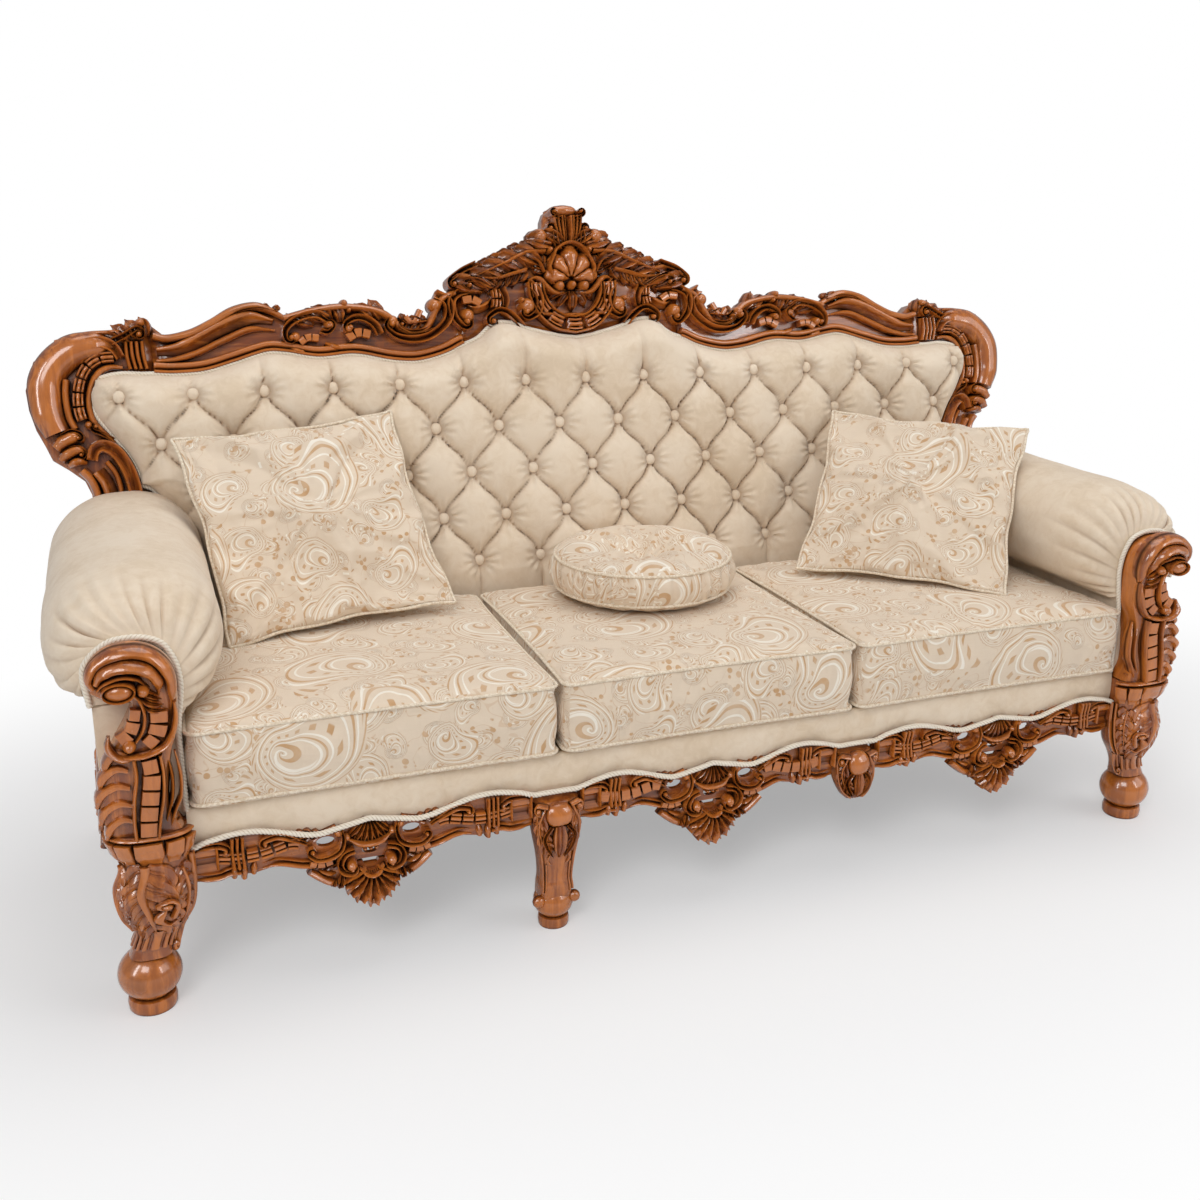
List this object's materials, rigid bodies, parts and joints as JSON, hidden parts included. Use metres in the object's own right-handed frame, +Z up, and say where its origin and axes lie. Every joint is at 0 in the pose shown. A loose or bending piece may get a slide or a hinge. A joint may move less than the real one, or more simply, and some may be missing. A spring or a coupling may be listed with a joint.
{
  "type": "three-seater sofa",
  "caption": "Carved show-wood sofa with a raked diamond-tufted back, rolled arms, loose seat cushions, scatter pillows and a round cushion.",
  "frame": {"origin": "on the floor, under the middle of the sofa's own box", "axes": "+Z up, the sofa faces -Y, +X runs along its length"},
  "size_m": [2.1052, 0.8938, 1.1755],
  "materials": {
    "carved_walnut": "gloss",
    "beech_frame": "matte",
    "spring_steel": "satin",
    "hessian": "matte",
    "black_lining": "matte",
    "velvet": "matte",
    "jacquard": "satin"
  },
  "bodies": {
    "root": {"seat_rail_front": "beech_frame", "seat_rail_back": "beech_frame", "seat_rail_left": "beech_frame", "seat_rail_right": "beech_frame", "seat_cross_rail_left": "beech_frame", "seat_cross_rail_right": "beech_frame", "corner_block_front_left": "beech_frame", "corner_block_front_right": "beech_frame", "corner_block_back_left": "beech_frame", "corner_block_back_right": "beech_frame", "spring_1": "spring_steel", "spring_2": "spring_steel", "spring_3": "spring_steel", "spring_4": "spring_steel", "spring_5": "spring_steel", "spring_6": "spring_steel", "seat_deck": "hessian", "dust_cover": "black_lining", "front_leg_left": "carved_walnut", "front_leg_right": "carved_walnut", "arm_post_left": "carved_walnut", "arm_post_right": "carved_walnut", "middle_leg": "carved_walnut", "middle_pendant": "carved_walnut", "rear_leg_left": "carved_walnut", "rear_leg_right": "carved_walnut", "apron_left": "carved_walnut", "apron_centre": "carved_walnut", "apron_right": "carved_walnut", "shell_drop_left": "carved_walnut", "shell_drop_centre": "carved_walnut", "shell_drop_right": "carved_walnut", "side_apron_left": "carved_walnut", "side_apron_right": "carved_walnut", "front_border": "velvet", "arm_rail_left": "beech_frame", "arm_rail_right": "beech_frame", "arm_roll_left": "velvet", "arm_roll_right": "velvet", "arm_outer_panel_left": "velvet", "arm_outer_panel_right": "velvet", "crest_cartouche": "carved_walnut", "crest_rail_left": "carved_walnut", "crest_rail_right": "carved_walnut", "back_scroll_left": "carved_walnut", "back_scroll_right": "carved_walnut", "back_stile_left": "beech_frame", "back_stile_right": "beech_frame", "back_bottom_rail": "beech_frame", "back_top_rail": "beech_frame", "back_webbing": "hessian", "back_outer_panel": "velvet", "back_pad": "velvet"},
    "left_seat": {"seat_cushion_left": "jacquard"},
    "centre_seat": {"seat_cushion_centre": "jacquard"},
    "right_seat": {"seat_cushion_right": "jacquard"},
    "left_pillow": {"pillow_left": "jacquard"},
    "right_pillow": {"pillow_right": "jacquard"},
    "round_pillow": {"round_cushion": "jacquard"}
  },
  "joints": [
    {"name": "left_seat_pull", "type": "slide", "parent": "root", "child": "left_seat", "axis": [0, -1, 0], "range_m": [0, 0.56]},
    {"name": "centre_seat_pull", "type": "slide", "parent": "root", "child": "centre_seat", "axis": [0, -1, 0], "range_m": [0, 0.56]},
    {"name": "right_seat_pull", "type": "slide", "parent": "root", "child": "right_seat", "axis": [0, -1, 0], "range_m": [0, 0.56]},
    {"name": "left_pillow_lift", "type": "slide", "parent": "left_seat", "child": "left_pillow", "axis": [0, 0, 1], "range_m": [0, 0.3]},
    {"name": "right_pillow_lift", "type": "slide", "parent": "right_seat", "child": "right_pillow", "axis": [0, 0, 1], "range_m": [0, 0.3]},
    {"name": "round_pillow_lift", "type": "slide", "parent": "centre_seat", "child": "round_pillow", "axis": [0, 0, 1], "range_m": [0, 0.3]}
  ]
}
